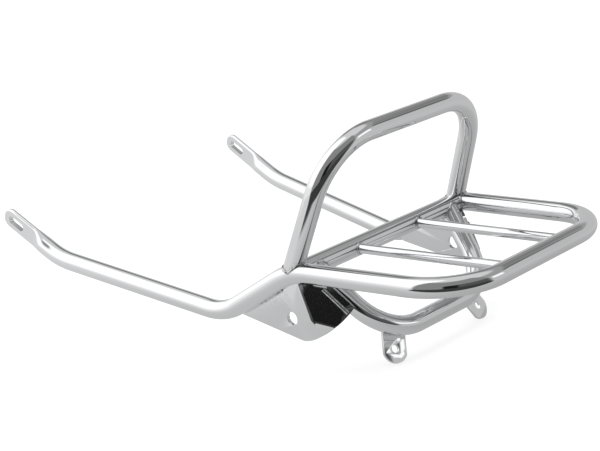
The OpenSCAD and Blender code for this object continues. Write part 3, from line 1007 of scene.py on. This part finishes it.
def mark_seams(points, reach):
    """Stores on every piece how near each of its points is to a weld."""
    tree = kdtree.KDTree(len(points))
    for k, point in enumerate(points):
        tree.insert(point, k)
    tree.balance()
    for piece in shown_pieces():
        near = piece.data.attributes.new("weld_near", "FLOAT", "POINT")
        near.data.foreach_set("value", [max(0.0, 1 - tree.find(v.co)[2] / reach)
                                        for v in piece.data.vertices])


class RACK_OT_stage(bpy.types.Operator):
    """Sets the pale floor, the soft studio light and the camera"""
    bl_idname = "rack.stage"
    bl_label = "Stage"

    def execute(self, context):
        looks = context.scene.rack_looks
        low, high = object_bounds()
        stage_floor(looks, low[2])
        studio_world()
        soft_lamp(low, high)
        photo_camera()
        context.scene.view_settings.view_transform = "Standard"
        return {"FINISHED"}


# level directions from the rack: to the camera, and to the camera's right
TO_CAMERA, TO_RIGHT = (0.7096, -0.7046, 0.0), (0.7046, 0.7096, 0.0)
FLOOR_HALF, FLOOR_GAP = 8, 0.0005
FLOOR_WHITE, FLOOR_SHADOW_SHARE = (0.97, 0.97, 0.97, 1.0), 0.2
# the floor's painted light in the metal, a glow in place of its lit colour: near and far
# from the rack, on the left and the right
NEAR_LEFT, NEAR_RIGHT, FAR_MORE_LEFT, FAR_MORE_RIGHT = 0.54, 0.42, 0.18, 0.14
FAR, LEFT_TO_RIGHT = (0.1, 0.7), (-0.15, 0.15)
# the dark zone in front of the rack in that painted glow: its distance, the point that
# its sides run from, the turn at which they start, in radians, and the tone in it
DARK_FRONT_REACH, DARK_FRONT_ROOT, DARK_FRONT_SIDE, DARK_FRONT_TONE = (0.35, 0.40), 0.12, (0.96, 1.1), 0.045


def stage_floor(looks, level):
    """A wide plain floor: white to the camera, with the rack's own soft shadow."""
    mesh = bpy.data.meshes.new("floor")
    mesh.from_pydata([(x * FLOOR_HALF, y * FLOOR_HALF, level - FLOOR_GAP) for x, y in
                      ((-1, -1), (1, -1), (1, 1), (-1, 1))], [], [(0, 1, 2, 3)])
    floor = link(bpy.data.objects.new("floor", mesh))
    material = bpy.data.materials.new("floor")
    material.use_nodes = True
    material.node_tree.nodes.clear()
    b = Tree(material.node_tree)
    path = b.node("ShaderNodeLightPath").outputs
    matt = b.node("ShaderNodeBsdfDiffuse", Color=FLOOR_WHITE).outputs[0]
    white = b.node("ShaderNodeEmission", Strength=1.0).outputs[0]
    to_camera = b.shaders(FLOOR_SHADOW_SHARE, white, matt)
    # what the metal sees is a painted glow: paler to the camera's left and further off,
    # and dark beyond a set distance in front of the rack
    place = b.node("ShaderNodeTexCoord").outputs["Object"]
    front = b.vector("DOT_PRODUCT", place, TO_CAMERA)
    right = b.vector("DOT_PRODUCT", place, TO_RIGHT)
    far = b.ramp(b.vector("LENGTH", place), *FAR)
    side = b.ramp(right, *LEFT_TO_RIGHT)
    near_tone = b.blend(side, NEAR_LEFT, NEAR_RIGHT)
    gain = b.blend(side, FAR_MORE_LEFT, FAR_MORE_RIGHT)
    tone = b.math("MULTIPLY_ADD", far, gain, near_tone)
    turn = b.math("ARCTAN2", right, b.math("SUBTRACT", front, DARK_FRONT_ROOT))
    ahead = b.math("SUBTRACT", 1.0, b.ramp(b.math("ABSOLUTE", turn), *DARK_FRONT_SIDE))
    edge = b.math("MULTIPLY", b.ramp(front, *DARK_FRONT_REACH), ahead)
    tone = b.blend(edge, tone, DARK_FRONT_TONE)
    tinted = b.vector("SCALE", (*looks.floor,), scale=tone)
    grey = b.node("ShaderNodeEmission", Color=tinted).outputs[0]
    rest = b.shaders(path["Is Glossy Ray"], matt, grey)
    out = b.node("ShaderNodeOutputMaterial")
    b.feed(b.shaders(path["Is Camera Ray"], rest, to_camera), out.inputs[0])
    mesh.materials.append(material)
    floor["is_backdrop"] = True


# soft forms of the studio: azimuth from the camera's own, positive to its right, and
# elevation, each from, to and blur in degrees, then the brightness
STUDIO = (
    ((60, 190, 3), (-2, 28, 5), 0.54),
    ((60, 190, 3), (28, 54, 4), 0.35),
    ((112, 152, 6), (36, 43, 2), 0.22),
    ((98, 114, 3), (29, 36, 2), 0.13),
    ((-190, -150, 6), (-4, 24, 5), 0.55),
    ((-165, -61, 4), (-4, 14, 6), 0.90),
    ((-150, -61, 8), (12, 88, 4), 1.20),
    ((-190, -160, 4), (26, 46, 3), 0.20),
    ((160, 190, 3), (26, 46, 3), 0.20),
    ((-61, 60, 3), (-6, 68, 3), 0.25),
    ((-9, 57, 4), (-6, 27, 3), 0.09),
    ((-15, 8, 3), (-4, 25, 2), 0.010),
    ((64, 86, 2), (11, 25, 2), 1.10),
)
# the metal's view outside those forms, below and above the horizon
STUDIO_BELOW, STUDIO_ABOVE, HORIZON_BLUR = 0.6, 0.68, 4


def studio_world():
    """White to the camera, and a soft studio to the metal."""
    world = bpy.data.worlds.new("studio")
    bpy.context.scene.world = world
    world.use_nodes = True
    world.node_tree.nodes.clear()
    b = Tree(world.node_tree)
    aim = b.vector("NORMALIZE", b.node("ShaderNodeTexCoord").outputs["Generated"])
    front = b.vector("DOT_PRODUCT", aim, TO_CAMERA)
    right = b.vector("DOT_PRODUCT", aim, TO_RIGHT)
    azimuth = b.math("DEGREES", b.math("ARCTAN2", right, front))
    height = b.node("ShaderNodeSeparateXYZ", Vector=aim).outputs[2]
    elevation = b.math("DEGREES", b.math("ARCSINE", height))
    tone = b.blend(b.ramp(elevation, -HORIZON_BLUR, HORIZON_BLUR), STUDIO_BELOW,
                   STUDIO_ABOVE)
    for across, upward, level in STUDIO:
        mask = 1.0
        for angle, (low, high, blur) in ((azimuth, across), (elevation, upward)):
            inside = b.math("SUBTRACT", b.ramp(angle, low - blur, low + blur),
                            b.ramp(angle, high - blur, high + blur))
            mask = b.math("MULTIPLY", inside, mask)
        tone = b.blend(mask, tone, level)
    path = b.node("ShaderNodeLightPath").outputs
    studio = b.node("ShaderNodeBackground", Color=tone).outputs[0]
    white = b.node("ShaderNodeBackground", Color=(1, 1, 1, 1)).outputs[0]
    final = b.node("ShaderNodeOutputWorld")
    b.feed(b.shaders(path["Is Glossy Ray"], white, studio), final.inputs[0])


LAMP_WIDTH, LAMP_WATTS, LAMP_PLACE = 1.6, 40.0, Vector((-0.2, -0.2, 1.8))


def soft_lamp(low, high):
    """One wide lamp overhead, which the floor needs for its soft shadow."""
    lamp = bpy.data.lights.new("overhead", "AREA")
    lamp.shape, lamp.size, lamp.energy = "DISK", LAMP_WIDTH, LAMP_WATTS
    body = link(bpy.data.objects.new("overhead", lamp))
    body.location = (low + high) / 2 + LAMP_PLACE
    body.visible_glossy = False


# the photograph's camera as fitted: focal length in millimetres, place and turn
FOCAL_LENGTH, CAMERA_PLACE = 88.775, (0.993160, -1.090643, 0.466739)
CAMERA_TURN = ((0.72355, -0.088064, 0.684632), (0.677719, 0.278925, -0.680366),
               (-0.131046, 0.956266, 0.261499))


def photo_camera():
    """The camera at the photograph's angle."""
    lens = bpy.data.cameras.new("photo")
    lens.lens, lens.sensor_width, lens.sensor_fit = FOCAL_LENGTH, 36.0, "HORIZONTAL"
    lens.clip_start, lens.clip_end = 0.05, 60.0
    camera = link(bpy.data.objects.new("photo", lens))
    camera.matrix_world = (Matrix.Translation(CAMERA_PLACE)
                           @ Matrix(CAMERA_TURN).to_4x4())
    bpy.context.scene.camera = camera


OPERATORS = (RACK_OT_materials, RACK_OT_main_tube, RACK_OT_platform, RACK_OT_hoop,
             RACK_OT_loop, RACK_OT_plates, RACK_OT_welds, RACK_OT_stage)


class RACK_PT_panel(bpy.types.Panel):
    """Lists the rack's operators, sizes and looks"""
    bl_label = "Luggage rack"
    bl_idname = "RACK_PT_panel"
    bl_space_type = "VIEW_3D"
    bl_region_type = "UI"
    bl_category = "Rack"

    def draw(self, context):
        for operator in OPERATORS:
            self.layout.operator(operator.bl_idname)
        for group in (context.scene.rack_sizes, context.scene.rack_looks):
            for name in group.__annotations__:
                self.layout.prop(group, name)


CLASSES = (RackSizes, RackLooks, *OPERATORS, RACK_PT_panel)


def register():
    """Registers the classes and puts the two groups on the scene."""
    for cls in CLASSES:
        bpy.utils.register_class(cls)
    bpy.types.Scene.rack_sizes = bpy.props.PointerProperty(type=RackSizes)
    bpy.types.Scene.rack_looks = bpy.props.PointerProperty(type=RackLooks)


def unregister():
    """Takes the groups and classes away again."""
    del bpy.types.Scene.rack_sizes
    del bpy.types.Scene.rack_looks
    for cls in reversed(CLASSES):
        bpy.utils.unregister_class(cls)


def main():
    """Builds every piece and the stage."""
    register()
    bpy.ops.rack.materials()
    bpy.ops.rack.main_tube()
    bpy.ops.rack.platform()
    bpy.ops.rack.hoop()
    bpy.ops.rack.loop()
    bpy.ops.rack.plates()
    bpy.ops.rack.welds()
    bpy.ops.rack.stage()


if __name__ == "__main__":
    main()
